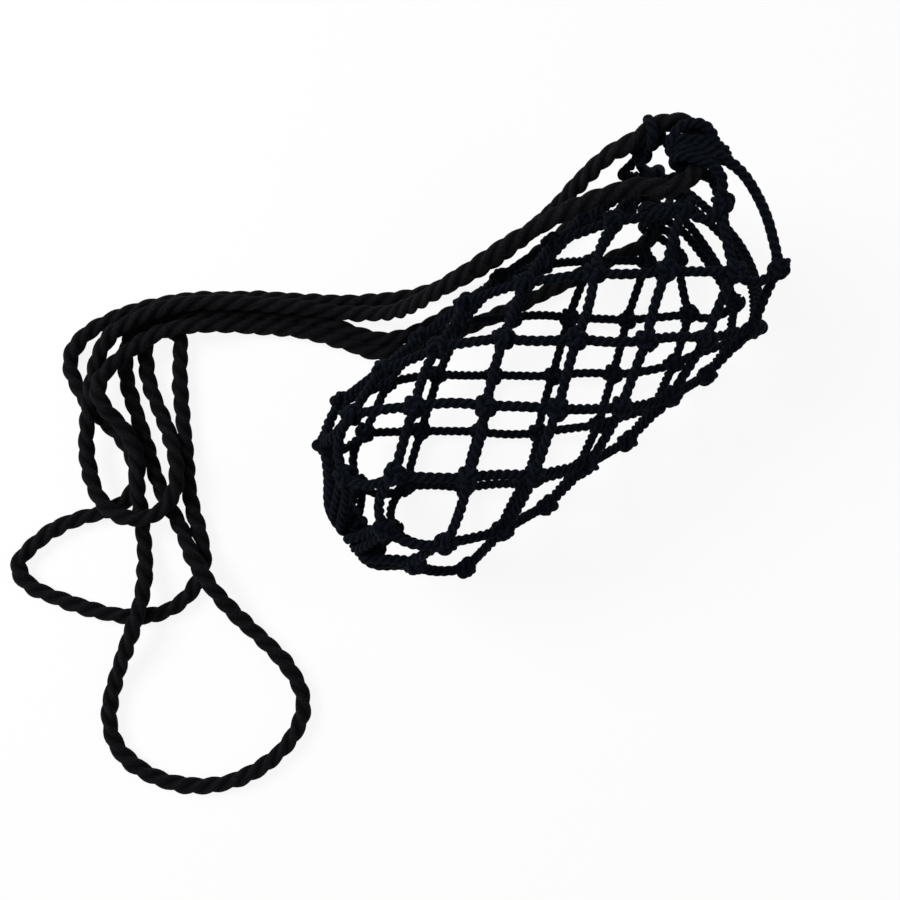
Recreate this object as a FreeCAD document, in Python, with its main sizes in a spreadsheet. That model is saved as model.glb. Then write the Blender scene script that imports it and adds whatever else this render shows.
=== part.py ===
import FreeCAD, Part
import math
import os

# Knotted cord bottle carrier, lying on its side in its filled shape.
# +X runs along the pouch from its base to its mouth, +Z is up, the floor is Z = 0.

V = FreeCAD.Vector
doc = FreeCAD.newDocument("bottle_carrier")

# Driving dimensions in millimetres
SIZES = {
    "net_cord": 3.5,
    "strap_cord": 6.2,
    "knot_width": 8.4,
    "knot_height": 7.6,
    "knot_bevel": 1.8,
    "mesh_bar": 24.6,
    "belly_radius": 40.1,
    "mouth_radius": 34.9,
    "base_radius": 30.0,
    "base_depth": 14.0,
    "base_ring_radius": 10.0,
    "base_ring_drop": 11.5,
    "floor_sag": 4.0,
    "seat_gap": 0.1,
    "wrap_gap": 0.4,
    "rest_gap": 0.5,
    "bight_radius": 12.0,
    "bight_behind_rim": 14.0,
    "bight_inset": 1.9,
    "rim_draw": 9.0,
    "loop_spread": 4.0,
    "loop_bulge": 8.0,
    "lay_unit": 1.0,
}
sheet = doc.addObject("Spreadsheet::Sheet", "Sizes")
for row, (alias, value) in enumerate(SIZES.items(), start=1):
    sheet.set("A%d" % row, alias)
    sheet.set("B%d" % row, str(value))
    sheet.setAlias("B%d" % row, alias)
doc.recompute()

net_cord = float(sheet.net_cord)
strap_cord = float(sheet.strap_cord)
knot_width = float(sheet.knot_width)
knot_height = float(sheet.knot_height)
knot_bevel = float(sheet.knot_bevel)
mesh_bar = float(sheet.mesh_bar)
belly_radius = float(sheet.belly_radius)
mouth_radius = float(sheet.mouth_radius)
base_radius = float(sheet.base_radius)
base_depth = float(sheet.base_depth)
base_ring_radius = float(sheet.base_ring_radius)
base_ring_drop = float(sheet.base_ring_drop)
floor_sag = float(sheet.floor_sag)
seat_gap = float(sheet.seat_gap)
wrap_gap = float(sheet.wrap_gap)
rest_gap = float(sheet.rest_gap)
bight_radius = float(sheet.bight_radius)
bight_behind_rim = float(sheet.bight_behind_rim)
bight_inset = float(sheet.bight_inset)
rim_draw = float(sheet.rim_draw)
loop_spread = float(sheet.loop_spread)
loop_bulge = float(sheet.loop_bulge)
lay_unit = float(sheet.lay_unit)

# Counts, angles and shares
MESHES_AROUND = 8
BASE_ROW = 0
FIRST_WALL_ROW = 1
RIM_ROW = 9
MIDDLE_ROW = RIM_ROW // 2
HALF_STEP = math.pi / MESHES_AROUND
TOP_STEP = MESHES_AROUND // 2 - 1
KNOT_SIDES = 6
CORD_SIDES = 6
RING_SIDES = 16
BIGHT_SWEEP = 180.0
LAY_TURN = 37.1
# Rim knots that the strap draws back: by step, their turn round the mouth and share of the draw
RIM_PULLS = {
    1: (0.0, 0.45), 3: (-12.0, 1.0), 5: (-6.0, 0.5), 7: (8.0, 1.4),
    9: (6.0, 0.5), 11: (12.0, 1.0), 13: (0.0, 0.45), 15: (0.0, 0.9),
}
# Rim loops: step of the knot, angle on the bight, approach share and shares of the bulge on the way
HOOKED_LOOPS = {
    "near": [(3, -62.0, 1.3, []), (5, -31.0, 1.3, [0.2])],
    "far": [(11, -62.0, 1.3, []), (9, -31.0, 1.3, [0.2]), (7, 31.0, 2.2, [1.7, 1.7])],
}
RINGED_LOOPS = {"near": [(1, 0.0), (15, 31.0)], "far": [(13, 0.0)]}
LEG_SHARE = 1.3
AHEAD_SHARE = 0.95
LEAST_RUN_SHARE = 1.5
SHOULDER_SHARE = 0.9
TAPER_START_ROW_SHARE = 0.17
ARC_RUN_SHARE = 0.45
LOOP_FACET_TURN = 30.0
BIGHT_FACET_TURN = 15.0

axis_height = belly_radius + knot_height / 2


def row_radius(row):
    # Straight belly that draws in towards the mouth along a parabola
    if row == BASE_ROW:
        return base_radius
    start = TAPER_START_ROW_SHARE * RIM_ROW
    share = max(0.0, (row - start) / (RIM_ROW - start))
    return belly_radius - (belly_radius - mouth_radius) * share * share


def row_spacing(row):
    # Axial distance between a row and the next one, from the length of a mesh bar
    near, far = row_radius(row), row_radius(row + 1)
    flat = near * near + far * far - 2 * near * far * math.cos(HALF_STEP)
    return math.sqrt(mesh_bar * mesh_bar - flat)


row_x = {FIRST_WALL_ROW: 0.0, BASE_ROW: -base_depth}
for row in range(FIRST_WALL_ROW, RIM_ROW):
    row_x[row + 1] = row_x[row] + row_spacing(row)

bight_aside = mouth_radius - bight_inset
loop_wrap = strap_cord / 2 + wrap_gap + net_cord / 2
rim_rest = mouth_radius + knot_height / 2 + strap_cord / 2 + rest_gap
near_bight_height = axis_height + math.sqrt(rim_rest**2 - (bight_aside - bight_radius)**2)
far_bight_height = strap_cord / 2 + wrap_gap + net_cord + seat_gap
bight_height = {"near": near_bight_height, "far": far_bight_height}
bight_centre = V(row_x[RIM_ROW] - bight_behind_rim, bight_aside, 0)


def knot_frame(row, step):
    # Centre and outward direction of a knot; knots near the floor sag onto it
    angle = (step - TOP_STEP) * HALF_STEP
    ahead = row_x[row]
    if row == RIM_ROW:
        turn, draw_share = RIM_PULLS[step % (2 * MESHES_AROUND)]
        angle += math.radians(turn)
        ahead -= draw_share * rim_draw
    outward = V(0, -math.sin(angle), math.cos(angle))
    centre = V(ahead, 0, axis_height) + outward * row_radius(row)
    lowest = knot_height / 2
    if centre.z < lowest + floor_sag:
        centre.z = lowest
        outward = V(0, 0, -1)
    return centre, outward


def row_steps(row):
    # Knots of neighbouring rows are half a mesh apart
    first = row % 2
    return [first + 2 * mesh for mesh in range(MESHES_AROUND)]


def facing(origin, z_dir, x_dir):
    return FreeCAD.Placement(origin, FreeCAD.Rotation(x_dir, V(), z_dir, "ZXY"))


def along(origin, direction):
    return FreeCAD.Placement(origin, FreeCAD.Rotation(V(0, 0, 1), direction))


def end_edges(shape):
    # Numbers of the edges round the two end faces of an upright prism
    found = []
    for number, edge in enumerate(shape.Edges, start=1):
        first, last = edge.Vertexes
        if abs(first.Z - last.Z) < seat_gap:
            found.append(number)
    return found


def make_knot_block(placement):
    block = doc.addObject("Part::Prism", "knot_block")
    block.Polygon = KNOT_SIDES
    block.setExpression("Circumradius", "Sizes.knot_width / 2")
    block.setExpression("Height", "Sizes.knot_height")
    block.Placement = placement
    return block


def make_bevelled(block):
    knot = doc.addObject("Part::Chamfer", "knot")
    knot.Base = block
    knot.Edges = BEVEL_EDGES
    return knot


# One pattern knot, measured and removed
pattern_block = make_knot_block(FreeCAD.Placement(V(0, 0, -knot_height / 2), FreeCAD.Rotation()))
doc.recompute()
BEVEL_EDGES = [(number, knot_bevel, knot_bevel) for number in end_edges(pattern_block.Shape)]
pattern = make_bevelled(pattern_block)
doc.recompute()
KNOT_CORNERS = [V(vertex.Point) for vertex in pattern.Shape.Vertexes]
doc.removeObject(pattern.Name)
doc.removeObject(pattern_block.Name)


def knot_centre(row, step):
    return knot_frame(row, step)[0]


def knot_reach(row, step, direction):
    # How far a knot stands out from its centre along a direction, with the seat's gap
    outward = knot_frame(row, step)[1]
    turn = facing(V(), outward, V(1, 0, 0)).Rotation
    return max(turn.multVec(corner).dot(direction) for corner in KNOT_CORNERS) + seat_gap


def seat_on(row, step, offset, target):
    # Where a cord that runs to a target leaves a knot, beside its middle by an offset
    base = knot_centre(row, step) + offset
    direction = (target - base).normalize()
    return base + direction * (knot_reach(row, step, direction) - offset.dot(direction))


def clear_of_knot(step, offset, target):
    # A loop's first point off its rim knot, moved out where it would be too near the knot
    base = knot_centre(RIM_ROW, step) + offset
    direction = (target - base).normalize()
    least = knot_reach(RIM_ROW, step, direction) - offset.dot(direction) + LEAST_RUN_SHARE * net_cord
    return base + direction * max(least, (target - base).Length)


def bight_point(angle, height):
    turn = math.radians(angle)
    return bight_centre + V(math.cos(turn), math.sin(turn), 0) * bight_radius + V(0, 0, height)


def hooked_points(step, angle, height, approach_share, bulge_shares):
    # A loop that comes in from outside the bight, goes over the strap, round it and back under it
    centre = knot_centre(RIM_ROW, step)
    cord = bight_point(angle, height)
    radial = (cord - bight_centre - V(0, 0, height)).normalize()
    approach = cord + radial * (approach_share * loop_wrap)
    beyond = cord - radial * loop_wrap
    rise = V(0, 0, loop_wrap)
    part = V(0, 0, loop_spread / 2)
    over = [approach + rise, beyond + rise]
    under = [beyond - rise, approach - rise]
    # On the way the loop stays clear of the mouth, ahead of the rim and round its edge
    middle = (centre + approach) * 0.5
    lean = 1 if middle.z > axis_height else -1
    start_turn = math.atan2(centre.y, lean * (centre.z - axis_height))
    end_turn = math.atan2(approach.y, lean * (approach.z - axis_height))
    out_way, back_way = [], []
    for number, bulge_share in enumerate(bulge_shares, start=1):
        share = number / (len(bulge_shares) + 1)
        turn = start_turn + (end_turn - start_turn) * share
        ahead = centre.x + (approach.x - centre.x) * share + bulge_share * loop_bulge
        rim_way = V(0, math.sin(turn), lean * math.cos(turn))
        bend = V(ahead, 0, axis_height) + rim_way * (SHOULDER_SHARE * mouth_radius)
        spread = part + (rise - part) * share
        out_way.append(bend + spread)
        back_way.insert(0, bend - spread)
    over = out_way + over
    under = under + back_way
    over[0] = clear_of_knot(step, part, over[0])
    under[-1] = clear_of_knot(step, part * -1, under[-1])
    first_seat = seat_on(RIM_ROW, step, part, over[0])
    last_seat = seat_on(RIM_ROW, step, part * -1, under[-1])
    return [first_seat] + over + under + [last_seat]


def ringed_points(step, angle, height):
    # A loop that hangs from its knot, or stands on it, straight round the strap
    centre = knot_centre(RIM_ROW, step)
    cord = bight_point(angle, height)
    radial = (cord - bight_centre - V(0, 0, height)).normalize()
    away = V(0, 0, loop_wrap)
    if centre.z > cord.z:
        away = away * -1
    outside = [cord + radial * loop_wrap - away * LEG_SHARE, cord + radial * loop_wrap + away]
    inside = [cord - radial * loop_wrap + away, cord - radial * loop_wrap - away * LEG_SHARE]
    # Its two ends sit a little towards the mouth, clear of the mesh bar that comes in behind
    ahead = radial * (loop_spread * AHEAD_SHARE)
    behind = ahead - radial * loop_spread
    outside[0] = clear_of_knot(step, ahead, outside[0])
    inside[-1] = clear_of_knot(step, behind, inside[-1])
    first_seat = seat_on(RIM_ROW, step, ahead, outside[0])
    last_seat = seat_on(RIM_ROW, step, behind, inside[-1])
    return [first_seat] + outside + inside + [last_seat]


def rounded_wire(points):
    # Straight runs joined by tangent arcs, each as large as its two runs allow
    edges = []
    radii = []
    last = points[0]
    for before, corner, after in zip(points, points[1:], points[2:]):
        back, ahead = before - corner, after - corner
        cut = ARC_RUN_SHARE * min(back.Length, ahead.Length)
        back.normalize()
        ahead.normalize()
        turn = math.pi - back.getAngle(ahead)
        radius = cut / math.tan(turn / 2)
        radii.append(radius)
        start, end = corner + back * cut, corner + ahead * cut
        inward = (back + ahead).normalize()
        crown = corner + inward * (radius / math.cos(turn / 2) - radius)
        edges.append(Part.LineSegment(last, start).toShape())
        edges.append(Part.Arc(start, crown, end).toShape())
        last = end
    edges.append(Part.LineSegment(last, points[-1]).toShape())
    return Part.Wire(edges), min(radii)


def rim_loop_points():
    # Every rim loop's points, by the side of the mouth whose strap it holds
    found = {"near": [], "far": []}
    for side in found:
        for step, angle, approach_share, bulge_shares in HOOKED_LOOPS[side]:
            found[side].append(hooked_points(step, angle, bight_height[side], approach_share, bulge_shares))
        for step, angle in RINGED_LOOPS[side]:
            found[side].append(ringed_points(step, angle, bight_height[side]))
    return found


# The origin is the middle of the pouch's length, from the base ring to the rim loops' fronts
first_loops = rim_loop_points()
loop_fronts = [rounded_wire(points)[0].BoundBox.XMax for points in first_loops["near"] + first_loops["far"]]
front_end = max(loop_fronts) + net_cord / 2
back_end = row_x[BASE_ROW] - base_ring_drop - net_cord / 2
origin_shift = (back_end + front_end) / 2
for row in row_x:
    row_x[row] -= origin_shift
bight_centre.x -= origin_shift

nodes = []


def group(name, members):
    node = doc.addObject("Part::Compound", name)
    node.Label = name
    node.Links = members
    nodes.append(node)


def make_knot(row, step):
    # A knot is a six-sided button with bevelled ends, flat side outward
    centre, outward = knot_frame(row, step)
    return make_bevelled(make_knot_block(facing(centre - outward * (knot_height / 2), outward, V(1, 0, 0))))


def make_bar(start, end):
    # One straight stretch of net cord
    bar = doc.addObject("Part::Prism", "bar")
    bar.Polygon = CORD_SIDES
    bar.setExpression("Circumradius", "Sizes.net_cord / 2")
    bar.Height = (end - start).Length
    bar.Placement = along(start, end - start)
    return bar


# Net: rows of knots and the bars between them
for row in range(BASE_ROW, RIM_ROW + 1):
    group("knots_row_%d" % row, [make_knot(row, step) for step in row_steps(row)])
for row in range(BASE_ROW, RIM_ROW):
    members = []
    for step in row_steps(row):
        for side in (-1, 1):
            start = seat_on(row, step, V(), knot_centre(row + 1, step + side))
            end = seat_on(row + 1, step + side, V(), knot_centre(row, step))
            members.append(make_bar(start, end))
    group("mesh_row_%d" % (row + 1), members)

# Base: a ring of net cord, and two strands from it to each knot of the base row
ring_x = row_x[BASE_ROW] - base_ring_drop
ring_place = along(V(ring_x - net_cord / 2, 0, axis_height), V(1, 0, 0))
outer = doc.addObject("Part::Prism", "ring_outside")
inner = doc.addObject("Part::Prism", "ring_inside")
outer.setExpression("Circumradius", "Sizes.base_ring_radius + Sizes.net_cord / 2")
inner.setExpression("Circumradius", "Sizes.base_ring_radius - Sizes.net_cord / 2")
for prism in (outer, inner):
    prism.Polygon = RING_SIDES
    prism.setExpression("Height", "Sizes.net_cord")
    prism.Placement = ring_place
base_ring = doc.addObject("Part::Cut", "base_ring")
base_ring.Label = "base_ring"
base_ring.Base = outer
base_ring.Tool = inner
nodes.append(base_ring)

strands = []
for step in row_steps(BASE_ROW):
    knot_angle = (step - TOP_STEP) * HALF_STEP
    sideways = V(0, -math.cos(knot_angle), -math.sin(knot_angle))
    for side in (-1, 1):
        angle = knot_angle + side / 2 * HALF_STEP
        outward = V(0, -math.sin(angle), math.cos(angle))
        foot = V(ring_x, 0, axis_height) + outward * (base_ring_radius + net_cord / 2 + seat_gap)
        end = seat_on(BASE_ROW, step, sideways * (side * loop_spread / 2), foot)
        direction = (end - foot).normalize()
        tilt = math.sqrt(1 - direction.dot(outward)**2)
        strands.append(make_bar(foot + direction * (net_cord / 2 * tilt), end))
group("base_strands", strands)


def faceted(wire, facet_turn):
    # The same path in short straight stretches, for a cord held in a fixed bend
    points = [wire.Edges[0].valueAt(wire.Edges[0].FirstParameter)]
    for edge in wire.Edges:
        if isinstance(edge.Curve, Part.Line):
            continue
        centre, radius = edge.Curve.Center, edge.Curve.Radius
        turn = edge.Length / radius
        count = math.ceil(math.degrees(turn) / facet_turn)
        reach = 1 / math.cos(turn / count / 2)
        # The stretches touch the arc in their middles and meet outside it
        for meeting in edge.discretize(2 * count + 1)[1::2]:
            points.append(centre + (meeting - centre) * reach)
    points.append(wire.Edges[-1].valueAt(wire.Edges[-1].LastParameter))
    return Part.makePolygon(points)


def sweep_cord(wire, diameter, size_name, name, transition="Transformed"):
    # A six-sided cord swept along a wire
    start = wire.Edges[0].valueAt(wire.Edges[0].FirstParameter)
    heading = wire.Edges[0].tangentAt(wire.Edges[0].FirstParameter)
    path = doc.addObject("Part::Feature", name + "_path")
    path.Shape = wire
    section = doc.addObject("Part::RegularPolygon", name + "_section")
    section.Polygon = CORD_SIDES
    section.setExpression("Circumradius", "Sizes.%s / 2" % size_name)
    section.Placement = along(start, heading)
    sweep = doc.addObject("Part::Sweep", name)
    sweep.Label = name
    sweep.Sections = [section]
    sweep.Spine = (path, ["Edge%d" % number for number in range(1, len(wire.Edges) + 1)])
    sweep.Solid = True
    sweep.Frenet = False
    sweep.Transition = transition
    doc.recompute()
    area = CORD_SIDES / 2 * (diameter / 2)**2 * math.sin(2 * math.pi / CORD_SIDES)
    share = sweep.Shape.Volume / (area * wire.Length)
    print("%s: %.1f mm long, volume %.3f of section times length" % (name, wire.Length, share))
    return sweep


# Rim loops of net cord that the strap loops are threaded through
for side, loops in rim_loop_points().items():
    members = []
    for number, points in enumerate(loops):
        path = faceted(rounded_wire(points)[0], LOOP_FACET_TURN)
        name = "%s_rim_loop_%d" % (side, number)
        members.append(sweep_cord(path, net_cord, "net_cord", name, "Right corner"))
    group(side + "_rim_loops", members)

# Strap bights: where each strap loop passes through the rim loops on its side of the mouth
for side, height in bight_height.items():
    ends = [bight_point(angle, height) for angle in (-BIGHT_SWEEP / 2, 0, BIGHT_SWEEP / 2)]
    path = faceted(Part.Wire([Part.Arc(*ends).toShape()]), BIGHT_FACET_TURN)
    nodes.append(sweep_cord(path, strap_cord, "strap_cord", side + "_strap_bight", "Right corner"))

# Strap routes in lay units: (right, up, height) from the foot of the middle row, turned by LAY_TURN
NEAR_ROUTE = [
    (28.5, 79, 71), (20, 74, 56), (9.5, 67.5, 36.5), (-3, 61.5, 21.5), (-17.5, 54.8, 9.6), (-34, 49, 4),
    (-50, 45, 3.1), (-66, 43.2, 3.1), (-82, 43.8, 3.1), (-98, 45.6, 3.1), (-114, 46.6, 3.1),
    (-130, 47, 3.1), (-145, 45.8, 3.1), (-158, 42.5, 3.1), (-170, 37, 3.1), (-179.5, 29, 3.1),
    (-185, 18.5, 3.1), (-184, 8, 3.1), (-178, -1, 3.1), (-171, -8, 3.1), (-164.5, -15, 3.1),
    (-161, -24, 3.1), (-162, -33, 3.1), (-168, -40.5, 3.1), (-178, -45.5, 3.1), (-190, -51.2, 3.1),
    (-199.5, -59, 3.1), (-205, -66.5, 3.1), (-200, -74, 3.1), (-189, -78.5, 3.1), (-175, -83.5, 3.1),
    (-160, -87.5, 3.1), (-145, -87.5, 3.1), (-133, -81, 3.1), (-127, -69, 3.1), (-126.5, -56, 3.1),
    (-130, -43, 3.1), (-132.5, -28, 3.1), (-135, -11, 3.1), (-137.5, 5, 3.1), (-138.5, 17, 3.1),
    (-138.3, 28.5, 3.1), (-145.5, 32.6, 3.1), (-152.7, 28.5, 3.1), (-152.5, 18, 3.1), (-151.5, 8, 3.1),
    (-147.5, -2, 3.1), (-143, -12, 3.1), (-139.5, -22.5, 4), (-139, -33, 8), (-142, -42, 9.8),
    (-148.5, -47.5, 9.8), (-157, -48, 9.8), (-165, -44.5, 9.8), (-170, -38, 9.8), (-173.4, -29, 8),
    (-175.4, -19.5, 7), (-176.2, -9.5, 9.4), (-176.6, 1, 9.8), (-175.8, 11, 9.8), (-173, 20.5, 9),
    (-167, 29, 8.8), (-158, 35.5, 9), (-146, 40.5, 9.8), (-132, 43.5, 9.4), (-116, 43.2, 9.4),
    (-100, 41.5, 9.3), (-86, 39.5, 8.2), (-73, 37.2, 6.2), (-60, 36.5, 9), (-48.7, 35, 18),
    (-35.6, 37.1, 36), (-20, 43.1, 52.5), (-3.9, 51.6, 62), (10.7, 58.8, 67.5), (25.4, 64.3, 72.5),
    (40, 66.5, 78),
]
FAR_ROUTE = [
    (28, 79.1, 4.2), (15.2, 67.9, 3.1), (1.9, 57.2, 3.1), (-12.8, 46.8, 3.1), (-28, 37.1, 3.1),
    (-42.3, 29.5, 3.1), (-55, 25, 3.1), (-68, 28, 3.1), (-80, 32.2, 3.1), (-94, 36.4, 3.1),
    (-108, 38.8, 3.1), (-122, 39.8, 3.1), (-135, 40, 3.1), (-146, 38.8, 3.1), (-154.5, 35.5, 3.1),
    (-159.8, 28, 3.1), (-160.5, 18.5, 3.1), (-159, 9, 3.1), (-155, -1, 3.1), (-150.5, -12, 3.1),
    (-146.5, -25, 3.1), (-142.5, -39, 3.1), (-138.5, -51, 3.6), (-132.5, -62, 9.8), (-123.8, -74.5, 9.8),
    (-113.4, -86, 4.5), (-102.4, -96, 3.1), (-91.5, -107.6, 3.1), (-85, -121.5, 3.1), (-90, -136, 3.1),
    (-103, -148, 3.1), (-119, -154.5, 3.1), (-136, -154.5, 3.1), (-151, -149, 3.1), (-162, -139.5, 3.1),
    (-165.5, -126.5, 3.1), (-162.5, -112, 3.3), (-155, -96, 9.8), (-151.5, -80, 9.8), (-151.5, -65, 4),
    (-153, -51, 3.1), (-153, -37, 3.1), (-154, -23, 3.1), (-158.5, -10, 3.4), (-166.5, -2, 5),
    (-170.5, 7, 8), (-166, 16.5, 9.8), (-157.5, 24.5, 9.8), (-146.5, 30, 9.8), (-134, 32.8, 9.8),
    (-122, 33.2, 7), (-110, 32, 3.3), (-97, 29.4, 3.1), (-84, 26.2, 3.1), (-71, 22.4, 3.1),
    (-58, 17.6, 3.1), (-41.9, 22.3, 3.1), (-23.2, 30.7, 3.1), (-4.2, 38.8, 3.1), (16, 48.5, 3.1),
    (33, 57.5, 3.1), (44.1, 62.8, 4.6),
]
STRAP_LEAD_SHARE = 0.62


def laid(point):
    # A route point in the carrier's own frame
    right, up, height = point
    turn = math.radians(LAY_TURN)
    across = right * math.cos(turn) + up * math.sin(turn)
    back = up * math.cos(turn) - right * math.sin(turn)
    return V(row_x[MIDDLE_ROW], 0, 0) + V(across, back, height) * lay_unit


# Strap loops, each from one end of its bight round its route to the other end
for side, route in (("near", NEAR_ROUTE), ("far", FAR_ROUTE)):
    lead = V(-STRAP_LEAD_SHARE * bight_radius, 0, 0)
    outer_end = bight_point(BIGHT_SWEEP / 2, bight_height[side])
    inner_end = bight_point(-BIGHT_SWEEP / 2, bight_height[side])
    points = [outer_end, outer_end + lead]
    points += [laid(point) for point in route]
    points += [inner_end + lead, inner_end]
    wire, least = rounded_wire(points)
    nodes.append(sweep_cord(wire, strap_cord, "strap_cord", side + "_strap_loop"))
    print("%s_strap_loop: %d points, least radius %.1f mm" % (side, len(points), least))

doc.recompute()
for item in doc.Objects:
    if "Invalid" in item.State or "Error" in item.State:
        raise RuntimeError("%s did not build" % item.Label)
for node in nodes:
    if node.Shape.isNull() or not node.Shape.isValid():
        raise RuntimeError("%s has no valid shape" % node.Label)

os.makedirs("parts", exist_ok=True)
for node in nodes:
    node.Shape.exportStep("parts/%s.step" % node.Label)
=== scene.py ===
import math
import bpy
import numpy as np
from mathutils import Matrix, Vector


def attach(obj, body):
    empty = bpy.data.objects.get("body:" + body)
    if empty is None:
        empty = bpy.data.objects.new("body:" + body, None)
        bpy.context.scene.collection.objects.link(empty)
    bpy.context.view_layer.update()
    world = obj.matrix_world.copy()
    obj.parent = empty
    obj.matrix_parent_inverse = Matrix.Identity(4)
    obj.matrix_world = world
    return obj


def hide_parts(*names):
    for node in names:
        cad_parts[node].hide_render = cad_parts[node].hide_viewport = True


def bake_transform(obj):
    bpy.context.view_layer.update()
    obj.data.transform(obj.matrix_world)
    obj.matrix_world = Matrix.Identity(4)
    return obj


# Knotted cord carrier lying on its side, rebuilt in rope over the CAD frame
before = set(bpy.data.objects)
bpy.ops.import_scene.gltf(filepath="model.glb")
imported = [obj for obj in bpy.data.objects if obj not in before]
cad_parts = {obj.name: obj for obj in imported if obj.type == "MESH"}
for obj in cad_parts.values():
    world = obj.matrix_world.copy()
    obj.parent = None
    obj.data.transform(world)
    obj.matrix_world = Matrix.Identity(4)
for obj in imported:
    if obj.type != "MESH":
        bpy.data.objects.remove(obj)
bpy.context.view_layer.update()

# Sizes in metres, as in the part's source
MM = 0.001
NET_CORD = 3.5 * MM
STRAP_CORD = 6.2 * MM
KNOT_HEIGHT = 7.6 * MM
MESH_BAR = 24.6 * MM
BELLY_RADIUS = 40.1 * MM
MOUTH_RADIUS = 34.9 * MM
BASE_RADIUS = 30.0 * MM
BASE_DEPTH = 14.0 * MM
BASE_RING_RADIUS = 10.0 * MM
BASE_RING_DROP = 11.5 * MM
FLOOR_SAG = 4.0 * MM
BIGHT_RADIUS = 12.0 * MM
BIGHT_CENTRE = Vector((70.41, 33.0, 0.0)) * MM
BIGHT_HEIGHT = {"near": 80.62 * MM, "far": 7.1 * MM}
STRAP_LEAD = 7.44 * MM
RIM_DRAW = 9.0 * MM
FIRST_WALL_ROW_X = -71.29 * MM
AXIS_HEIGHT = BELLY_RADIUS + KNOT_HEIGHT / 2

# Where the soft cord leaves the source's places: the base ring, the knots at the back, the near bight
BASE_RING_SLIP = Vector((1.5, -5.0, 0.0)) * MM
BACK_DRAW = 2.6 * MM
BIGHT_OUTER_REACH = {"near": 9.6 * MM, "far": BIGHT_RADIUS}

# Counts, angles and shares
MESHES_AROUND = 8
BASE_ROW = 0
FIRST_WALL_ROW = 1
MIDDLE_ROW = 4
RIM_ROW = 9
HALF_STEP = math.pi / MESHES_AROUND
TOP_STEP = 3
LAY_TURN = math.radians(37.1)
TAPER_START_ROW_SHARE = 0.17
# Rim knots that the strap draws back: by step, their turn round the mouth and share of the draw
RIM_PULLS = {
    1: (0.0, 0.45), 3: (-12.0, 1.0), 5: (-6.0, 0.5), 7: (8.0, 1.4),
    9: (6.0, 0.5), 11: (12.0, 1.0), 13: (0.0, 0.45), 15: (0.0, 0.9),
}

# Rows whose knots at the back are drawn in: by row, their share of that draw
BACK_DRAW_SHARES = {0: 0.5, 1: 1.0, 2: 0.8, 3: 0.4}

# Rope make-up: three plies, with the lay's length in diameters and its hand
PLIES = 3
PLY_RADIUS_SHARE = 0.57
PLY_CENTRE_SHARE = 0.43
# Mean width of the laid plies in shares of the width over their crests
MEAN_WIDTH_SHARE = PLY_RADIUS_SHARE + PLY_CENTRE_SHARE * math.sin(math.pi / PLIES) * PLIES / math.pi
NET_LAY_SHARE = 2.6
STRAP_LAY_SHARE = 3.7
LAY_HAND = -1
NET_SAMPLES_PER_PLY = 6
STRAP_SAMPLES_PER_PLY = 8
NET_RING_STEP = 0.55 * MM
STRAP_RING_STEP = 0.9 * MM
CURVE_STEPS = 16
SPLINE_ORDER = 3
RING_POINTS = 96
BIGHT_POINTS = 60
# The pinhole left in a rope's end, and how near to upright a line may start for its frame
CAP_HOLE_SHARE = 0.02
UPRIGHT_SHARE = 0.1
# Unevenness of the free strap: shares of its thickness, over spans in diameters, faded at its held ends
SWELL_SHARES = (0.04, 0.03)
SWELL_SPAN_SHARES = (4.3, 1.9)
SWELL_FADE_SHARE = 4.0
# Height that keeps the strap's thickest crests clear of the floor
CREST_LIFT = STRAP_CORD / 2 * ((1 + sum(SWELL_SHARES)) / MEAN_WIDTH_SHARE - 1)

# Bars: their bow between knots, and which of them hang slack
BAR_BOW = 1.2 * MM
SLACK_SPAN_SHARE = 0.93
SLACK_SHARE = 0.7

# Knot make-up: a trefoil of the net cord, laid up softer
KNOT_REACH = 0.9 * MM
KNOT_RISE = 1.7 * MM
KNOT_RINGS = 66
KNOT_WINDS = 2
KNOT_LOBES = 3
KNOT_LAY_SHARE = 3.6

# Base strands: how far they wander, and the slant of their hitches on the ring
STRAND_WANDER = 1.6 * MM
HITCH_SLANT_SHARE = 0.4

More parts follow.
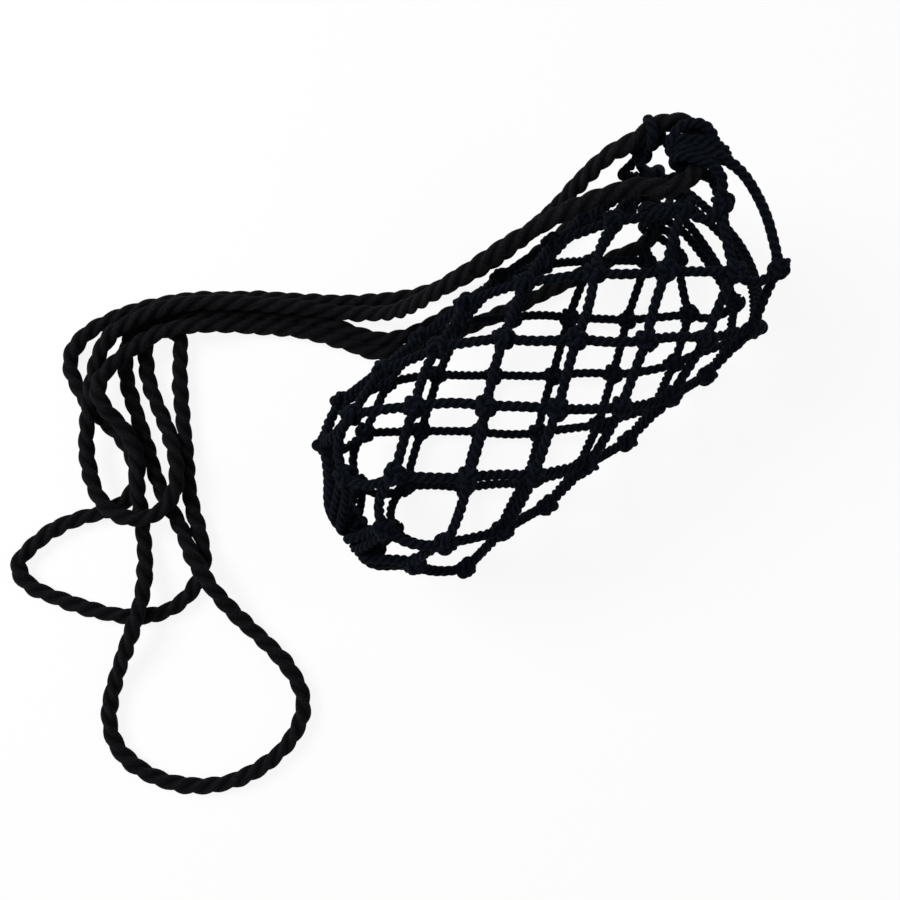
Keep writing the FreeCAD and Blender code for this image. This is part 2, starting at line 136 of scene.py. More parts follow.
# Strap routes in millimetres: (right, up, height) on the floor from the foot of the middle row
NEAR_ROUTE = [
    (28.2, 79.6, 71), (19.8, 74.2, 56), (9.6, 67.3, 36.5), (-2.6, 60.7, 21.5), (-17, 53.4, 9.6),
    (-33.6, 47.5, 4), (-50, 43.9, 3.1), (-66, 42.8, 3.1), (-82, 42.8, 3.1), (-98, 44.2, 3.1),
    (-114, 44.4, 3.1), (-130, 44.4, 3.1), (-145, 42.9, 3.1), (-157.2, 39.8, 3.1), (-169.4, 35.4, 3.1),
    (-180.4, 29, 3.1), (-186.4, 18.5, 3.1), (-183, 8.6, 3.1), (-176.8, -0.4, 3.1), (-170, -8, 3.1),
    (-162, -14.7, 3.1), (-157, -24, 3.1), (-156.2, -33.5, 3.1), (-160.5, -41, 3.1), (-170, -45.2, 3.1),
    (-179, -47.1, 3.1), (-190, -51.7, 3.1), (-199.5, -59.6, 3.1), (-205, -66.5, 3.1),
    (-199.5, -75, 3.1), (-189, -79.3, 3.1), (-175, -84.2, 3.1), (-160, -87.5, 3.1), (-145, -86.8, 3.1),
    (-134, -79.8, 3.1), (-127.2, -68, 3.1), (-128.8, -56, 3.1), (-133.4, -43, 3.1), (-135.6, -28, 3.1),
    (-137.2, -11, 3.1), (-139.2, 5, 3.1), (-139.7, 17, 3.1), (-139.2, 28.5, 3.1), (-146.5, 32.6, 3.1),
    (-154, 28.5, 3.1), (-154, 18, 3.1), (-152.3, 8, 3.1), (-147.8, -2, 3.4), (-143, -12, 5),
    (-138.9, -22.5, 8.8), (-137.6, -33, 9.8), (-140.8, -42, 10), (-148.5, -47.5, 10.4),
    (-157, -48, 10.4), (-165, -44.5, 9.8), (-170.4, -38, 9.8), (-174, -29, 8), (-176, -19.5, 7.4),
    (-175.2, -9.5, 9.3), (-174.4, 1, 9.4), (-173.4, 11, 9.5), (-171.2, 20.2, 9.3), (-166.8, 28.5, 9),
    (-157.3, 34, 9.2), (-146, 38.8, 9.6), (-132, 41.6, 9), (-116, 41.4, 9), (-100, 40.2, 9),
    (-86, 39.3, 8.6), (-73, 37.4, 6.4), (-60, 36.5, 9), (-48.7, 35, 18), (-35.6, 37.1, 36),
    (-20, 43.1, 52.5), (-3.9, 51.6, 62), (10.7, 58.8, 67.5), (25.4, 64.3, 72.5), (40, 66.5, 78),
]
FAR_ROUTE = [
    (28, 79.1, 4.2), (15.2, 67.9, 3.1), (1.9, 57.2, 3.1), (-12.8, 46.8, 3.1), (-28, 37.1, 3.1),
    (-42.3, 29.5, 3.1), (-55, 26, 3.1), (-68, 30.2, 3.1), (-80, 34.5, 3.1), (-94, 37.2, 3.1),
    (-108, 38, 3.1), (-122, 38.2, 3.1), (-135, 38, 3.1), (-146, 36.8, 3.1), (-155.5, 34, 3.1),
    (-161.4, 27.5, 3.1), (-162.4, 18.5, 3.1), (-161.6, 9, 3.1), (-158.2, -1, 3.1), (-154.3, -12, 3.1),
    (-150.3, -25, 3.1), (-145, -39, 3.1), (-137.2, -51, 3.6), (-131.8, -62, 9.8), (-123.8, -74.5, 9.8),
    (-114, -86.6, 4.5), (-103, -96.6, 3.1), (-91.7, -107.8, 3.1), (-85, -121.5, 3.1), (-90, -136, 3.1),
    (-103, -148, 3.1), (-119, -154.5, 3.1), (-136, -154.5, 3.1), (-151, -149, 3.1), (-162, -139.5, 3.1),
    (-165.5, -126.5, 3.1), (-162.5, -112, 3.3), (-155.4, -96, 9.8), (-150.6, -80, 9.8), (-151.3, -65, 4),
    (-153.4, -50, 3.1), (-154, -43, 4.6), (-154.4, -35.5, 8.6), (-153.8, -23, 8.8), (-159.5, -10.5, 10.4),
    (-167.2, -3, 14.8), (-170.2, 5.8, 15.4), (-164.8, 15, 12.4), (-156.4, 22.8, 9.8), (-146.5, 29, 9.8),
    (-134, 31.8, 9.6), (-122, 32.4, 7), (-110, 32.4, 3.3), (-97, 31.7, 3.1), (-84, 29.6, 3.1),
    (-71, 25.8, 3.1), (-58, 20.4, 3.1), (-41.9, 22.9, 3.1), (-23.2, 30.7, 3.1), (-4.2, 38.8, 3.1),
    (16, 48.5, 3.1), (33, 57.5, 3.1), (44.1, 62.8, 4.6),
]

# Rim loops in millimetres, from their rim knot round the strap and back to the knot
LOOP_KNOTS = {"near": [3, 5, 1], "far": [11, 9, 7, 13]}
RIM_LOOPS = {
    "near": [
        [(76.6, 10.1, 81.8), (79.2, 16.4, 85.9), (71.4, 29.0, 86.1), (70.0, 29.6, 76.0), (77.6, 17.2, 75.4),
         (80.6, 18.2, 85.9), (72.6, 31.4, 85.6), (72.0, 31.4, 75.4), (79.6, 17.4, 75.4), (77.1, 11.3, 75.7)],
        [(81.2, -18.0, 73.4), (87.0, -1.6, 77.0), (85.4, 17.2, 84.6), (72.4, 32.8, 86.1), (71.6, 33.4, 75.2),
         (86.4, 18.2, 76.0), (85.8, 21.6, 85.4), (72.6, 36.0, 85.2), (73.0, 35.4, 75.4), (87.6, 17.6, 79.6),
         (88.6, -1.4, 73.5), (82.8, -17.3, 70.1)],
        [(83.8, 25.0, 71.5), (85.0, 23.6, 79.0), (84.4, 26.6, 86.0), (84.0, 32.0, 86.6), (79.4, 36.0, 86.6),
         (74.8, 36.0, 85.8), (71.6, 34.0, 82.4), (74.6, 31.6, 75.0), (78.9, 28.2, 70.8)],
    ],
    "far": [
        [(77.1, 11.3, 12.0), (79.6, 15.4, 12.7), (73.2, 27.5, 12.7), (73.2, 27.5, 1.8), (79.6, 15.4, 1.9),
         (76.6, 10.1, 6.0)],
        [(81.1, -17.3, 18.2), (84.8, -1.8, 16.2), (87.0, 23.0, 12.7), (75.7, 29.8, 12.7), (75.7, 29.8, 1.8),
         (87.0, 23.0, 1.8), (84.8, -1.8, 8.9), (80.8, -18.2, 13.7)],
        [(75.5, -31.7, 37.5), (91.7, -19.2, 22.1), (97.9, 3.6, 16.9), (90.6, 45.1, 12.7), (75.2, 35.9, 12.7),
         (75.2, 35.9, 1.8), (90.6, 45.1, 1.8), (97.9, 3.6, 8.5), (91.7, -19.2, 16.0), (73.9, -33.0, 34.9)],
        [(85.2, 27.1, 17.7), (87.7, 33.0, 13.9), (87.7, 33.0, 1.8), (77.2, 33.0, 1.8), (77.2, 33.0, 13.9),
         (78.9, 28.1, 17.0)],
    ],
}

# The loop that is tied off under the strap: its knot, its points and where it starts to follow the strap
TIED_KNOT = 15
LOOP_TIE = Vector((66.0, 39.2, 73.0)) * MM
TIED_LOOP = [
    (69.5, 37.5, 55.0), (66.6, 38.8, 65.0), (66.0, 39.2, 73.0), (67.6, 37.8, 80.0), (68.8, 40.0, 85.6),
    (70.6, 44.8, 84.6), (72.4, 46.2, 79.8), (74.2, 42.8, 75.2), (75.4, 38.2, 75.8), (66.0, 39.2, 73.0),
    (63.4, 39.4, 65.6), (59.5, 40.0, 60.0), (65.0, 39.0, 52.0),
]


def row_radius(row):
    # Straight belly that draws in towards the mouth along a parabola
    if row == BASE_ROW:
        return BASE_RADIUS
    start = TAPER_START_ROW_SHARE * RIM_ROW
    share = max(0.0, (row - start) / (RIM_ROW - start))
    return BELLY_RADIUS - (BELLY_RADIUS - MOUTH_RADIUS) * share * share


def row_spacing(row):
    # Axial distance between a row and the next one
    near, far = row_radius(row), row_radius(row + 1)
    flat = near * near + far * far - 2 * near * far * math.cos(HALF_STEP)
    return math.sqrt(MESH_BAR * MESH_BAR - flat)


ROW_X = {FIRST_WALL_ROW: FIRST_WALL_ROW_X, BASE_ROW: FIRST_WALL_ROW_X - BASE_DEPTH}
for row in range(FIRST_WALL_ROW, RIM_ROW):
    ROW_X[row + 1] = ROW_X[row] + row_spacing(row)


def outward_at(angle):
    return Vector((0, -math.sin(angle), math.cos(angle)))


def knot_frame(row, step):
    # Centre and outward direction of a knot; knots near the floor sag onto it
    angle = (step - TOP_STEP) * HALF_STEP
    ahead = ROW_X[row]
    if row == RIM_ROW:
        turn, draw_share = RIM_PULLS[step % (2 * MESHES_AROUND)]
        angle += math.radians(turn)
        ahead -= draw_share * RIM_DRAW
    outward = outward_at(angle)
    centre = Vector((ahead, 0, AXIS_HEIGHT)) + outward * row_radius(row)
    centre.y -= BACK_DRAW * BACK_DRAW_SHARES.get(row, 0.0) * max(0.0, outward.y)
    lowest = KNOT_HEIGHT / 2
    if centre.z < lowest + FLOOR_SAG:
        centre.z = lowest
        outward = Vector((0, 0, -1))
    return centre, outward


def row_steps(row):
    first = row % 2
    return [first + 2 * mesh for mesh in range(MESHES_AROUND)]


def laid(point):
    # A route point in the carrier's own frame
    right, up, height = point
    across = right * math.cos(LAY_TURN) + up * math.sin(LAY_TURN)
    back = up * math.cos(LAY_TURN) - right * math.sin(LAY_TURN)
    return Vector((ROW_X[MIDDLE_ROW] + across * MM, back * MM, height * MM + CREST_LIFT))


def spread_even(points, step):
    # The same line with points an even distance apart
    points = np.array(points, dtype=float)
    gaps = np.linalg.norm(np.diff(points, axis=0), axis=1)
    reached = np.concatenate(([0.0], np.cumsum(gaps)))
    count = max(3, int(round(reached[-1] / step)) + 1)
    places = np.linspace(0.0, reached[-1], count)
    return np.stack([np.interp(places, reached, points[:, axis]) for axis in range(3)], axis=1)


def spline_line(name, controls, step):
    # Points read from a quadratic NURBS spline on the control points
    curve = bpy.data.curves.new(name + "_route", "CURVE")
    curve.dimensions = "3D"
    curve.resolution_u = CURVE_STEPS
    spline = curve.splines.new("NURBS")
    spline.points.add(len(controls) - 1)
    for point, control in zip(spline.points, controls):
        point.co = (control[0], control[1], control[2], 1.0)
    spline.order_u = SPLINE_ORDER
    spline.use_endpoint_u = True
    holder = bpy.data.objects.new(name + "_route", curve)
    bpy.context.scene.collection.objects.link(holder)
    bpy.context.view_layer.update()
    line = bpy.data.meshes.new_from_object(holder)
    points = [tuple(vertex.co) for vertex in line.vertices]
    bpy.data.objects.remove(holder)
    bpy.data.curves.remove(curve)
    bpy.data.meshes.remove(line)
    return spread_even(points, step)


def ply_profile(samples_per_ply):
    # Angle and reach, in shares of the cord's radius, of three plies laid together
    count = PLIES * samples_per_ply
    angles = np.arange(count) * (2 * math.pi / count)
    lobe = 2 * math.pi / PLIES
    aside = (angles + lobe / 2) % lobe - lobe / 2
    reach = PLY_CENTRE_SHARE * np.cos(aside)
    reach += np.sqrt(PLY_RADIUS_SHARE**2 - (PLY_CENTRE_SHARE * np.sin(aside))**2)
    return angles, reach


def carried_frames(points, closed):
    # Tangents and a sideways direction carried along the line without twisting
    if closed:
        ahead = np.roll(points, -1, axis=0) - np.roll(points, 1, axis=0)
    else:
        ahead = np.gradient(points, axis=0)
    ahead /= np.linalg.norm(ahead, axis=1)[:, None]
    side = np.zeros_like(points)
    start = np.cross(ahead[0], (0.0, 0.0, 1.0))
    if np.linalg.norm(start) < UPRIGHT_SHARE:
        start = np.cross(ahead[0], (0.0, 1.0, 0.0))
    side[0] = start / np.linalg.norm(start)
    for number in range(1, len(points)):
        carried = side[number - 1] - ahead[number] * side[number - 1].dot(ahead[number])
        side[number] = carried / np.linalg.norm(carried)
    return ahead, side


def swell(reached, diameter):
    # Share of its even thickness that an uneven rope has along its length
    uneven = np.zeros(len(reached))
    for share, span_share in zip(SWELL_SHARES, SWELL_SPAN_SHARES):
        uneven += share * np.sin(2 * math.pi * reached / (span_share * diameter))
    from_end = np.minimum(reached, reached[-1] - reached)
    return 1 + uneven * np.clip(from_end / (SWELL_FADE_SHARE * diameter), 0.0, 1.0)


class RopeMesh:
    # Collects ropes, then makes one mesh of them
    def __init__(self):
        self.points = []
        self.faces = []
        self.corners = []
        self.count = 0
        self.rope_base = 0

    def add(self, points, diameter, lay_share, samples_per_ply, phase=0.0, closed=False, uneven=False):
        # One rope of plies along a line, with a lay that meets itself where the line is closed
        angles, reach = ply_profile(samples_per_ply)
        around = len(angles)
        rows = len(points)
        ahead, side = carried_frames(points, closed)
        up = np.cross(ahead, side)
        steps = np.linalg.norm(np.diff(points, axis=0), axis=1)
        reached = np.concatenate(([0.0], np.cumsum(steps)))
        length = reached[-1]
        turn = LAY_HAND * 2 * math.pi / (lay_share * diameter)
        if closed:
            length += np.linalg.norm(points[0] - points[-1])
            last = side[-1] - ahead[0] * side[-1].dot(ahead[0])
            slip = math.atan2(last.dot(up[0]), last.dot(side[0]))
            lobe = 2 * math.pi / PLIES
            turn = (round((turn * length + slip) / lobe) * lobe - slip) / length
        # Rings of points round the line
        twist = phase + turn * reached
        spin = angles[None, :] + twist[:, None]
        thickness = swell(reached, diameter) if uneven else np.ones(rows)
        size = np.outer(thickness, reach) * (diameter / MEAN_WIDTH_SHARE / 2)
        ring = side[:, None, :] * (np.cos(spin) * size)[:, :, None]
        ring += up[:, None, :] * (np.sin(spin) * size)[:, :, None]
        ring += points[:, None, :]
        self.points.append(ring.reshape(-1, 3))
        # Quads from each ring to the next
        first = np.arange(rows if closed else rows - 1)
        next_ring = (first + 1) % rows
        place = np.arange(around)
        next_place = (place + 1) % around
        shift = np.zeros(len(first), dtype=int)
        if closed:
            # The seam meets on the ply that the lay brings round to it
            total = turn * length + slip
            shift[-1] = int(round(total / (2 * math.pi) * around)) % around
        ahead_place = (place[None, :] - shift[:, None]) % around
        ahead_next = (next_place[None, :] - shift[:, None]) % around
        low = first[:, None] * around
        high = next_ring[:, None] * around
        quads = np.stack([low + place, low + next_place, high + ahead_next, high + ahead_place], axis=2)
        self.faces.append(quads.reshape(-1, 4) + self.count)
        # Each corner's place along the rope and round it
        along_low = np.repeat(reached[first][:, None], around, axis=1)
        along_high = np.repeat(np.append(reached, length)[first + 1][:, None], around, axis=1)
        share_low = np.repeat((place / around)[None, :], len(first), axis=0)
        share_high = share_low + 1 / around
        corner_along = np.stack([along_low, along_low, along_high, along_high], axis=2)
        corner_share = np.stack([share_low, share_high, share_high, share_low], axis=2)
        self.corners.append(np.stack([corner_along, corner_share], axis=3).reshape(-1, 2))
        self.count += rows * around
        if not closed:
            self.cap(points[0], ring[0], around, 0, True)
            self.cap(points[-1], ring[-1], around, rows - 1, False)

    def cap(self, centre, ring, around, row, at_start):
        # Closes a rope's end with a fan of thin quads round its middle
        base = self.count
        small = centre + (ring - centre) * CAP_HOLE_SHARE
        self.points.append(small)
        self.count += around
        place = np.arange(around)
        next_place = (place + 1) % around
        rope = self.rope_base + row * around
        outer, outer_next = rope + place, rope + next_place
        inner, inner_next = base + place, base + next_place
        quads = np.stack([outer, inner, inner_next, outer_next], axis=1)
        if not at_start:
            quads = quads[:, ::-1]
        self.faces.append(quads)
        self.corners.append(np.zeros((around * 4, 2)))

    def lay(self, *rope, **options):
        # Adds one rope and remembers where its points begin
        self.rope_base = self.count
        self.add(*rope, **options)

    def make(self, name, material, node, body=None):
        # The piece that replaces a node, riding on a body when one is given
        mesh = bpy.data.meshes.new(name)
        faces = np.concatenate(self.faces)
        mesh.from_pydata(np.concatenate(self.points).tolist(), [], faces.tolist())
        layer = mesh.uv_layers.new(name="lay")
        layer.data.foreach_set("uv", np.concatenate(self.corners).ravel())
        mesh.polygons.foreach_set("use_smooth", [True] * len(faces))
        mesh.materials.append(material)
        mesh.update()
        piece = bpy.data.objects.new(name, mesh)
        bpy.context.scene.collection.objects.link(piece)
        if body:
            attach(piece, body)
        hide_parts(node)
        return piece


# Cotton: its gloss and sheen, its yarns and fibres, and its colours
COTTON_ROUGHNESS = 0.86
COTTON_GLOSS = 0.06
SHEEN = 0.01
SHEEN_ROUGHNESS = 0.45
SHEEN_TINT = (0.62, 0.66, 0.8, 1.0)
NET_YARNS = (900.0, 9.0, 1.0)
STRAP_YARNS = (520.0, 12.0, 1.0)
YARN_SCALE = 1.0
YARN_DISTORTION = 1.5
YARN_DETAIL = 2.0
YARN_HEIGHT_SHARE = 0.6
FUZZ_SCALE = 1300.0
FUZZ_DETAIL = 5.0
FUZZ_LOW = 0.34
FUZZ_HIGH = 0.66
BUMP_STRENGTH = 0.8
BUMP_DEPTH = 0.5 * MM
NET_COLOUR = (0.0020, 0.0027, 0.0043)
STRAP_COLOUR = (0.0028, 0.0028, 0.0032)
# Painted shade in the grooves between plies and painted light on their crests, in shares of the cotton's own
# colour
PAINTED_GROOVE_SHADE = 0.05
PAINTED_CREST_LIGHT = 3.2
# The mix node's sockets for colours
MIX_FIRST = 6
MIX_SECOND = 7
MIX_RESULT = 2


def worked_out(tree, operation, *terms):
    # Output of a math node whose terms are numbers or the outputs of other nodes
    node = tree.nodes.new("ShaderNodeMath")
    node.operation = operation
    for socket, term in zip(node.inputs, terms):
        if isinstance(term, bpy.types.NodeSocket):
            tree.links.new(term, socket)
        else:
            socket.default_value = term
    return node.outputs["Value"]


def cotton(name, yarn_scale, colour):
    # Dark cotton cord: fibres along the plies, painted shade in the grooves, painted light on the ply
    # crests, dull sheen
    material = bpy.data.materials.new(name)
    material.use_nodes = True
    tree = material.node_tree
    links = tree.links
    shader = tree.nodes["Principled BSDF"]
    shader.inputs["Roughness"].default_value = COTTON_ROUGHNESS
    shader.inputs["Specular IOR Level"].default_value = COTTON_GLOSS
    shader.inputs["Specular Tint"].default_value = [part / max(colour) for part in colour] + [1.0]
    shader.inputs["Sheen Weight"].default_value = SHEEN
    shader.inputs["Sheen Roughness"].default_value = SHEEN_ROUGHNESS
    shader.inputs["Sheen Tint"].default_value = SHEEN_TINT

    # Fibres, from the piece's own coordinates
    place = tree.nodes.new("ShaderNodeTexCoord")
    fuzz = tree.nodes.new("ShaderNodeTexNoise")
    fuzz.inputs["Scale"].default_value = FUZZ_SCALE
    fuzz.inputs["Detail"].default_value = FUZZ_DETAIL
    links.new(place.outputs["Object"], fuzz.inputs["Vector"])
    fibres = tree.nodes.new("ShaderNodeMapRange")
    fibres.inputs["From Min"].default_value = FUZZ_LOW
    fibres.inputs["From Max"].default_value = FUZZ_HIGH
    links.new(fuzz.outputs["Fac"], fibres.inputs["Value"])

    # Painted shade in the grooves and painted light on the crests: from 0 in the grooves between plies to
    # the fibres' own share on the crests
    lay = tree.nodes.new("ShaderNodeUVMap")
    lay.uv_map = "lay"
    parts = tree.nodes.new("ShaderNodeSeparateXYZ")
    links.new(lay.outputs["UV"], parts.inputs["Vector"])
    turn = worked_out(tree, "MULTIPLY", parts.outputs["Y"], 2 * math.pi * PLIES)
    crest_light_mask = worked_out(tree, "MULTIPLY_ADD", worked_out(tree, "COSINE", turn), 1 / 2, 1 / 2)
    painted_shade = tree.nodes.new("ShaderNodeMix")
    painted_shade.data_type = "RGBA"
    painted_shade.inputs[MIX_FIRST].default_value = [part * PAINTED_GROOVE_SHADE for part in colour] + [1.0]
    painted_shade.inputs[MIX_SECOND].default_value = [part * PAINTED_CREST_LIGHT for part in colour] + [1.0]
    links.new(worked_out(tree, "MULTIPLY", crest_light_mask, fibres.outputs["Result"]), painted_shade.inputs["Factor"])
    links.new(painted_shade.outputs[MIX_RESULT], shader.inputs["Base Color"])

    # Relief of yarns and fibres
    stretch = tree.nodes.new("ShaderNodeMapping")
    stretch.inputs["Scale"].default_value = yarn_scale
    links.new(lay.outputs["UV"], stretch.inputs["Vector"])
    yarns = tree.nodes.new("ShaderNodeTexWave")
    yarns.bands_direction = "DIAGONAL"
    yarns.inputs["Scale"].default_value = YARN_SCALE
    yarns.inputs["Distortion"].default_value = YARN_DISTORTION
    yarns.inputs["Detail"].default_value = YARN_DETAIL
    links.new(stretch.outputs["Vector"], yarns.inputs["Vector"])
    bump = tree.nodes.new("ShaderNodeBump")
    bump.inputs["Strength"].default_value = BUMP_STRENGTH
    bump.inputs["Distance"].default_value = BUMP_DEPTH
    relief = worked_out(tree, "MULTIPLY_ADD", yarns.outputs["Fac"], YARN_HEIGHT_SHARE, fuzz.outputs["Fac"])
    links.new(relief, bump.inputs["Height"])
    links.new(bump.outputs["Normal"], shader.inputs["Normal"])
    return material


NET_COTTON = cotton("net cotton", NET_YARNS, NET_COLOUR)
STRAP_COTTON = cotton("strap cotton", STRAP_YARNS, STRAP_COLOUR)

# Repeatable scatter: the numbers that mix a place, and a channel for each thing that varies
SCATTER_MIX = (12.9898, 78.233, 37.719)
SCATTER_SPREAD = 43758.5453
KNOT_TURN = 1
BAR_BOWING = 2
KNOT_PHASE = 5
BAR_PHASE = 6
STRAND_ASIDE = 7
STRAND_OUT = 8
STRAND_PHASE = 9


def scatter(row, step, channel):
    # A repeatable number from -1 to 1 for each place in the net
    mixed = sum(number * mix for number, mix in zip((row, step, channel), SCATTER_MIX))
    value = math.sin(mixed) * SCATTER_SPREAD
    return 2 * (value - math.floor(value)) - 1


def trefoil():
    # The knot's centre line, its open side along Z
    turn = np.linspace(0.0, 2 * math.pi, KNOT_RINGS, endpoint=False)
    reach = (KNOT_WINDS + np.cos(KNOT_LOBES * turn)) * KNOT_REACH
    across = reach * np.cos(KNOT_WINDS * turn)
    along = reach * np.sin(KNOT_WINDS * turn)
    return np.stack([across, along, KNOT_RISE * np.sin(KNOT_LOBES * turn)], axis=1)


KNOT_LINE = trefoil()


def knot_line(centre, outward, turn):
    # A knot's centre line at its place, turned about its outward direction
    across = Vector((1, 0, 0))
    up = outward.cross(across).normalized()
    axes = np.array([across, up, outward]).T
    spun = np.array(Matrix.Rotation(turn, 3, "Z"))
    return KNOT_LINE @ spun.T @ axes.T + np.array(centre)


def bar_line(row, step, side):
    # A mesh bar from knot to knot, with a slight bow along the wall
    start, start_out = knot_frame(row, step)
    end, end_out = knot_frame(row + 1, step + side)
    middle = (start + end) / 2
    span = (end - start).length
    aside = (end - start).cross(start_out + end_out).normalized()
    bow = BAR_BOW * scatter(row, step, BAR_BOWING + side)
    if span < SLACK_SPAN_SHARE * MESH_BAR:
        # A bar between knots that were drawn together hangs in a shallow curve of most of its slack
        aside = aside if aside.x < 0 else -aside
        bow = span * math.sqrt(3 / 8 * (MESH_BAR / span - 1)) * SLACK_SHARE
    controls = [start, middle + aside * (2 * bow), end]
    return spline_line("bar", controls, NET_RING_STEP)


# Net: rows of knots, and the bars from each row to the next
for row in range(BASE_ROW, RIM_ROW + 1):
    ropes = RopeMesh()
    for step in row_steps(row):
        phase = math.pi * scatter(row, step, KNOT_PHASE)
        line = knot_line(*knot_frame(row, step), math.pi * scatter(row, step, KNOT_TURN))
        ropes.lay(line, NET_CORD, KNOT_LAY_SHARE, NET_SAMPLES_PER_PLY, phase=phase, closed=True)
    name = "knots_row_%d" % row
    ropes.make(name + "_rope", NET_COTTON, name, "net")
for row in range(BASE_ROW, RIM_ROW):
    ropes = RopeMesh()
    for step in row_steps(row):
        for side in (-1, 1):
            phase = math.pi * scatter(row, step, BAR_PHASE + side)
            line = bar_line(row, step, side)
            ropes.lay(line, NET_CORD, NET_LAY_SHARE, NET_SAMPLES_PER_PLY, phase=phase)
    name = "mesh_row_%d" % (row + 1)
    ropes.make(name + "_rope", NET_COTTON, name, "net")


def hitch_points(foot, outward):
    # Round the base ring once: over its back, through its middle and up in front
    axial = Vector((1, 0, 0))
    slant = axial.cross(outward) * (HITCH_SLANT_SHARE * NET_CORD)
    out, along = outward * NET_CORD, axial * NET_CORD
    corners = [out - along, -out - along, -out + along, out + along]
    slips = [slant * (2 * number / len(corners) - 1) for number in range(len(corners))]
    return [foot + corner + slip for corner, slip in zip(corners, slips)]


# Base: the ring, and two strands from each knot of the base row, hitched round it
RING_CENTRE = Vector((ROW_X[BASE_ROW] - BASE_RING_DROP, 0, AXIS_HEIGHT)) + BASE_RING_SLIP
ropes = RopeMesh()
turns = np.linspace(0.0, 2 * math.pi, RING_POINTS, endpoint=False)
ring_line = np.stack([np.zeros(RING_POINTS), -np.sin(turns), np.cos(turns)], axis=1) * BASE_RING_RADIUS
ring_line += np.array(RING_CENTRE)
ropes.lay(ring_line, NET_CORD, NET_LAY_SHARE, NET_SAMPLES_PER_PLY, closed=True)
ropes.make("base_ring_rope", NET_COTTON, "base_ring", "net")
ropes = RopeMesh()
for step in row_steps(BASE_ROW):
    knot_angle = (step - TOP_STEP) * HALF_STEP
    sideways = Vector((0, -math.cos(knot_angle), -math.sin(knot_angle)))
    for side in (-1, 1):
        outward = outward_at(knot_angle + side / 2 * HALF_STEP)
        foot = RING_CENTRE + outward * BASE_RING_RADIUS
        start = knot_frame(BASE_ROW, step)[0] + sideways * (side * NET_CORD / 2)
        middle = (start + foot + outward * NET_CORD) / 2
        middle += sideways * (STRAND_WANDER * scatter(step, side, STRAND_ASIDE))
        middle += outward * (STRAND_WANDER * scatter(step, side, STRAND_OUT))
        controls = [start, middle] + hitch_points(foot, outward) + [foot]
        line = spline_line("base_strand", controls, NET_RING_STEP)
        phase = math.pi * scatter(step, side, STRAND_PHASE)
        ropes.lay(line, NET_CORD, NET_LAY_SHARE, NET_SAMPLES_PER_PLY, phase=phase)
ropes.make("base_strands_rope", NET_COTTON, "base_strands", "net")

# Rim loops
for side, loops in RIM_LOOPS.items():
    ropes = RopeMesh()
    for step, points in zip(LOOP_KNOTS[side], loops):
        knot = knot_frame(RIM_ROW, step)[0]
        controls = [knot] + [Vector(point) * MM for point in points] + [knot]
        line = spline_line(side + "_rim_loop", controls, NET_RING_STEP)
        ropes.lay(line, NET_CORD, NET_LAY_SHARE, NET_SAMPLES_PER_PLY)
    name = side + "_rim_loops"
    ropes.make(name + "_rope", NET_COTTON, name, "net")

# The tied loop, whose foot is at a rim knot of the net and whose ring goes round the strap, with its tie
# knot
ropes = RopeMesh()
knot = knot_frame(RIM_ROW, TIED_KNOT)[0]
controls = [knot] + [Vector(point) * MM for point in TIED_LOOP] + [knot]
line = spline_line("tied_loop", controls, NET_RING_STEP)
ropes.lay(line, NET_CORD, NET_LAY_SHARE, NET_SAMPLES_PER_PLY)
line = knot_line(LOOP_TIE, Vector((0, 0, 1)), 0.0)
ropes.lay(line, NET_CORD, KNOT_LAY_SHARE, NET_SAMPLES_PER_PLY, closed=True)
tied_loop = ropes.make("near_tied_loop_rope", NET_COTTON, "near_rim_loops")
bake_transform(tied_loop)

# Strap: a bight in the rim loops and the free loop from one of its ends to the other
for side, route in (("near", NEAR_ROUTE), ("far", FAR_ROUTE)):
    level = Vector((0, 0, BIGHT_HEIGHT[side]))
    turns = np.linspace(-math.pi / 2, math.pi / 2, BIGHT_POINTS)
    reach = np.where(turns > 0.0, BIGHT_OUTER_REACH[side], BIGHT_RADIUS)
    ahead = np.cos(turns) * BIGHT_RADIUS
    aside = np.sin(turns) * reach
    bend = np.stack([ahead, aside, np.zeros(BIGHT_POINTS)], axis=1) + np.array(BIGHT_CENTRE + level)
    ropes = RopeMesh()
    ropes.lay(bend, STRAP_CORD, STRAP_LAY_SHARE, STRAP_SAMPLES_PER_PLY)
    name = side + "_strap_bight"
    bight = ropes.make(name + "_rope", STRAP_COTTON, name, "strap")
    outer_end = BIGHT_CENTRE + level + Vector((0, BIGHT_OUTER_REACH[side], 0))
    inner_end = BIGHT_CENTRE + level - Vector((0, BIGHT_RADIUS, 0))
    lead = Vector((-STRAP_LEAD, 0, 0))
    controls = [outer_end, outer_end + lead]
    controls += [laid(point) for point in route]
    controls += [inner_end + lead, inner_end]
    line = spline_line(side + "_strap_loop", controls, STRAP_RING_STEP)
    ropes = RopeMesh()
    ropes.lay(line, STRAP_CORD, STRAP_LAY_SHARE, STRAP_SAMPLES_PER_PLY, uneven=True)
    name = side + "_strap_loop"
    piece = ropes.make(name + "_rope", STRAP_COTTON, name, "strap")

# Surroundings: white to the camera, to mirrors and through glass, and plain light for the object
FLOOR_SIZE = 6.0
FLOOR_GREY = 0.8
FLOOR_WHITE_SHARE = 0.9
WORLD_LIGHT = 0.12
WORLD_WHITE_SHARE = 1.0
WHITE = (1.0, 1.0, 1.0, 1.0)
# Lamps: their place in metres, their size and their power
LAMPS = {"key": ((-0.55, 0.75, 0.9), 0.6, 20.0), "fill": ((0.7, -0.6, 0.8), 0.8, 4.0)}


def seen_share(tree, share):
    # The share of plain white in what those rays see
    rays = tree.nodes.new("ShaderNodeLightPath")
    seen = worked_out(tree, "MAXIMUM", rays.outputs["Is Camera Ray"], rays.outputs["Is Glossy Ray"])
    seen = worked_out(tree, "MAXIMUM", seen, rays.outputs["Is Transmission Ray"])
    return worked_out(tree, "MULTIPLY", seen, share)


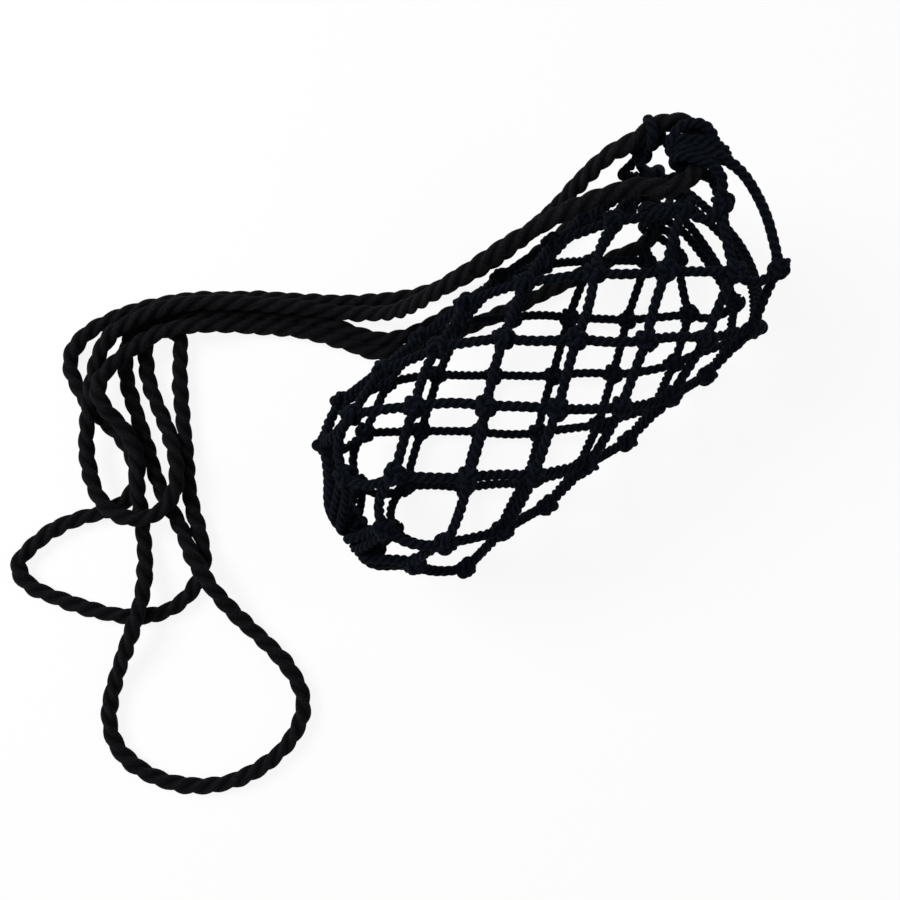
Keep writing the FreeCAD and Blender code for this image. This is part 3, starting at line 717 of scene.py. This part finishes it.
# Floor: its own white, and enough of the light on it to keep the object's shadow
half = FLOOR_SIZE / 2
floor_corners = [(-half, -half, 0), (half, -half, 0), (half, half, 0), (-half, half, 0)]
floor_mesh = bpy.data.meshes.new("floor")
floor_mesh.from_pydata(floor_corners, [], [(0, 1, 2, 3)])
floor = bpy.data.objects.new("floor", floor_mesh)
bpy.context.scene.collection.objects.link(floor)
floor_paint = bpy.data.materials.new("floor paint")
floor_paint.use_nodes = True
tree = floor_paint.node_tree
dull = tree.nodes["Principled BSDF"]
dull.inputs["Base Color"].default_value = (FLOOR_GREY, FLOOR_GREY, FLOOR_GREY, 1.0)
dull.inputs["Roughness"].default_value = 1.0
dull.inputs["Specular IOR Level"].default_value = 0.0
glow = tree.nodes.new("ShaderNodeEmission")
glow.inputs["Color"].default_value = WHITE
choice = tree.nodes.new("ShaderNodeMixShader")
tree.links.new(seen_share(tree, FLOOR_WHITE_SHARE), choice.inputs["Fac"])
tree.links.new(dull.outputs["BSDF"], choice.inputs[1])
tree.links.new(glow.outputs["Emission"], choice.inputs[2])
tree.links.new(choice.outputs["Shader"], tree.nodes["Material Output"].inputs["Surface"])
floor_mesh.materials.append(floor_paint)

# Soft studio light
world = bpy.data.worlds.new("studio")
bpy.context.scene.world = world
world.use_nodes = True
tree = world.node_tree
sky = tree.nodes["Background"]
sky.inputs["Color"].default_value = WHITE
sky.inputs["Strength"].default_value = WORLD_LIGHT
white_sky = tree.nodes.new("ShaderNodeBackground")
white_sky.inputs["Color"].default_value = WHITE
choice = tree.nodes.new("ShaderNodeMixShader")
tree.links.new(seen_share(tree, WORLD_WHITE_SHARE), choice.inputs["Fac"])
tree.links.new(sky.outputs["Background"], choice.inputs[1])
tree.links.new(white_sky.outputs["Background"], choice.inputs[2])
tree.links.new(choice.outputs["Shader"], tree.nodes["World Output"].inputs["Surface"])


def soft_light(name, place, size, power):
    # A square lamp aimed at the frame's origin
    lamp = bpy.data.lights.new(name, "AREA")
    lamp.size = size
    lamp.energy = power
    holder = bpy.data.objects.new(name, lamp)
    bpy.context.scene.collection.objects.link(holder)
    holder.location = place
    aim = Vector((0, 0, 0)) - Vector(place)
    holder.rotation_euler = aim.to_track_quat("-Z", "Y").to_euler()


for name, (place, size, power) in LAMPS.items():
    soft_light(name, place, size, power)

# Camera, a little off straight down
CAMERA_PLACE = Vector((-69.2, -27.6, 414.9)) * MM
CAMERA_RIGHT = Vector((math.cos(LAY_TURN), -math.sin(LAY_TURN), 0))
CAMERA_DIP = math.radians(85.0)
LENS = 40.0
SENSOR = 36.0
camera_data = bpy.data.cameras.new("camera")
camera_data.lens = LENS
camera_data.sensor_width = SENSOR
camera = bpy.data.objects.new("camera", camera_data)
bpy.context.scene.collection.objects.link(camera)
level_ahead = Vector((0, 0, 1)).cross(CAMERA_RIGHT)
ahead = level_ahead * math.cos(CAMERA_DIP) - Vector((0, 0, 1)) * math.sin(CAMERA_DIP)
camera_up = CAMERA_RIGHT.cross(ahead)
turn = Matrix((CAMERA_RIGHT, camera_up, -ahead)).transposed()
camera.matrix_world = Matrix.Translation(CAMERA_PLACE) @ turn.to_4x4()
scene = bpy.context.scene
scene.camera = camera
scene.view_settings.view_transform = "Standard"
